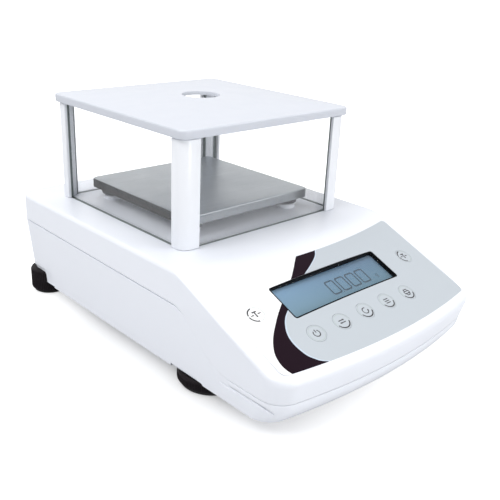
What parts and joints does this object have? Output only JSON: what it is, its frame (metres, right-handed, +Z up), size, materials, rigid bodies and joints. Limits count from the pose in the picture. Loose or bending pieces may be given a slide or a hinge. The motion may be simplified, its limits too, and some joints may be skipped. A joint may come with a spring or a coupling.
{
  "type": "precision balance",
  "caption": "Laboratory balance with a square pan under a glass draught shield, a sloping display and key panel, and screw feet.",
  "frame": {"origin": "on the bench, under the middle of the case", "axes": "+X to the operator's right, +Y to the rear, -Y is the front with the key panel, +Z up"},
  "size_m": [0.215, 0.3239, 0.1755],
  "materials": {
    "shell": "moulded white plastic with a soft sheen",
    "overlay": "printed film, fine matt",
    "bezel": "black frame, smooth",
    "vial": "clear cap over tinted fluid",
    "screw": "plated steel",
    "lens": "clear window",
    "lcd": "blue-grey display glass",
    "board": "green circuit board",
    "key": "printed key face, fine matt",
    "switch": "black moulding",
    "ribbon": "flat cable film",
    "socket": "black moulding",
    "port": "plated shell",
    "pan": "brushed stainless steel",
    "carrier": "as cast",
    "pad": "black rubber",
    "cell": "milled and clear anodised",
    "bolt": "zinc plated steel",
    "lid": "smooth moulded plastic",
    "post": "white moulded plastic",
    "pane": "clear float glass",
    "wheel": "dark plum ribbed plastic",
    "foot_rubber": "black rubber"
  },
  "bodies": {
    "case": {"base_shell": "shell", "top_cover": "shell", "front_overlay": "overlay", "display_bezel": "bezel", "level_vial": "vial", "case_screw_1": "screw", "case_screw_2": "screw", "case_screw_3": "screw", "case_screw_4": "screw", "display_window": "lens", "lcd_panel": "lcd", "keypad_board": "board", "switch_tare_left": "switch", "switch_tare_right": "switch", "switch_power": "switch", "switch_unit": "switch", "switch_count": "switch", "switch_menu": "switch", "switch_print": "switch", "main_board": "board", "display_ribbon": "ribbon", "power_inlet": "socket", "data_port": "port", "load_cell": "cell", "load_cell_block": "cell", "overload_stop": "bolt", "load_cell_bolt_left": "bolt", "load_cell_bolt_right": "bolt"},
    "carrier": {"pan_carrier": "carrier", "pan_pad_front_left": "pad", "pan_pad_front_right": "pad", "pan_pad_back_left": "pad", "pan_pad_back_right": "pad", "carrier_bolt_left": "bolt", "carrier_bolt_right": "bolt"},
    "pan": {"weighing_pan": "pan"},
    "shield": {"shield_post_front_left": "post", "shield_post_front_right": "post", "shield_post_back_left": "post", "shield_post_back_right": "post", "glass_front": "pane", "glass_back": "pane", "glass_left": "pane", "glass_right": "pane"},
    "lid": {"shield_lid": "lid"},
    "key_body_tare_left": {"key_tare_left": "key"},
    "key_body_tare_right": {"key_tare_right": "key"},
    "key_body_power": {"key_power": "key"},
    "key_body_unit": {"key_unit": "key"},
    "key_body_count": {"key_count": "key"},
    "key_body_menu": {"key_menu": "key"},
    "key_body_print": {"key_print": "key"},
    "foot_front_left": {"foot_pad_front_left": "foot_rubber"},
    "wheel_front_left": {"foot_wheel_front_left": "wheel"},
    "foot_front_right": {"foot_pad_front_right": "foot_rubber"},
    "wheel_front_right": {"foot_wheel_front_right": "wheel"},
    "foot_back_left": {"foot_pad_back_left": "foot_rubber"},
    "wheel_back_left": {"foot_wheel_back_left": "wheel"},
    "foot_back_right": {"foot_pad_back_right": "foot_rubber"},
    "wheel_back_right": {"foot_wheel_back_right": "wheel"}
  },
  "joints": [
    {"name": "load_travel", "type": "slide", "parent": "case", "child": "carrier", "axis": [0, 0, 1], "range_m": [-0.0002, 0], "stiffness_N_per_m": 80000, "springref_m": 0.00007},
    {"name": "pan_lift", "type": "slide", "parent": "carrier", "child": "pan", "axis": [0, 0, 1], "range_m": [0, 0.06]},
    {"name": "shield_lift", "type": "slide", "parent": "case", "child": "shield", "axis": [0, 0, 1], "range_m": [0, 0.15]},
    {"name": "lid_lift", "type": "slide", "parent": "shield", "child": "lid", "axis": [0, 0, 1], "range_m": [0, 0.12]},
    {"name": "press_tare_left", "type": "slide", "parent": "case", "child": "key_body_tare_left", "axis": [0, -0.3898, 0.9209], "range_m": [-0.0004, 0], "stiffness_N_per_m": 2000, "springref_m": 0.0003},
    {"name": "press_tare_right", "type": "slide", "parent": "case", "child": "key_body_tare_right", "axis": [0, -0.3898, 0.9209], "range_m": [-0.0004, 0], "stiffness_N_per_m": 2000, "springref_m": 0.0003},
    {"name": "press_power", "type": "slide", "parent": "case", "child": "key_body_power", "axis": [0, -0.3898, 0.9209], "range_m": [-0.0004, 0], "stiffness_N_per_m": 2000, "springref_m": 0.0003},
    {"name": "press_unit", "type": "slide", "parent": "case", "child": "key_body_unit", "axis": [0, -0.3898, 0.9209], "range_m": [-0.0004, 0], "stiffness_N_per_m": 2000, "springref_m": 0.0003},
    {"name": "press_count", "type": "slide", "parent": "case", "child": "key_body_count", "axis": [0, -0.3898, 0.9209], "range_m": [-0.0004, 0], "stiffness_N_per_m": 2000, "springref_m": 0.0003},
    {"name": "press_menu", "type": "slide", "parent": "case", "child": "key_body_menu", "axis": [0, -0.3898, 0.9209], "range_m": [-0.0004, 0], "stiffness_N_per_m": 2000, "springref_m": 0.0003},
    {"name": "press_print", "type": "slide", "parent": "case", "child": "key_body_print", "axis": [0, -0.3898, 0.9209], "range_m": [-0.0004, 0], "stiffness_N_per_m": 2000, "springref_m": 0.0003},
    {"name": "level_front_left", "type": "slide", "parent": "case", "child": "foot_front_left", "axis": [0, 0, 1], "range_m": [-0.004, 0.002]},
    {"name": "turn_front_left", "type": "hinge", "parent": "foot_front_left", "child": "wheel_front_left", "pos_m": [-0.0788, -0.0616, 0.0066], "axis": [0, 0, 1], "range_deg": [-1152, 576]},
    {"name": "level_front_right", "type": "slide", "parent": "case", "child": "foot_front_right", "axis": [0, 0, 1], "range_m": [-0.004, 0.002]},
    {"name": "turn_front_right", "type": "hinge", "parent": "foot_front_right", "child": "wheel_front_right", "pos_m": [0.0788, -0.0616, 0.0066], "axis": [0, 0, 1], "range_deg": [-1152, 576]},
    {"name": "level_back_left", "type": "slide", "parent": "case", "child": "foot_back_left", "axis": [0, 0, 1], "range_m": [-0.004, 0.002]},
    {"name": "turn_back_left", "type": "hinge", "parent": "foot_back_left", "child": "wheel_back_left", "pos_m": [-0.0915, 0.144, 0.0115], "axis": [0, 0, 1], "range_deg": [-1152, 576]},
    {"name": "level_back_right", "type": "slide", "parent": "case", "child": "foot_back_right", "axis": [0, 0, 1], "range_m": [-0.004, 0.002]},
    {"name": "turn_back_right", "type": "hinge", "parent": "foot_back_right", "child": "wheel_back_right", "pos_m": [0.0915, 0.144, 0.0115], "axis": [0, 0, 1], "range_deg": [-1152, 576]}
  ],
  "couplings": [
    {"joint": "turn_front_left", "follows": "level_front_left", "rad_per_m": 5026.5},
    {"joint": "turn_front_right", "follows": "level_front_right", "rad_per_m": 5026.5},
    {"joint": "turn_back_left", "follows": "level_back_left", "rad_per_m": 5026.5},
    {"joint": "turn_back_right", "follows": "level_back_right", "rad_per_m": 5026.5}
  ]
}
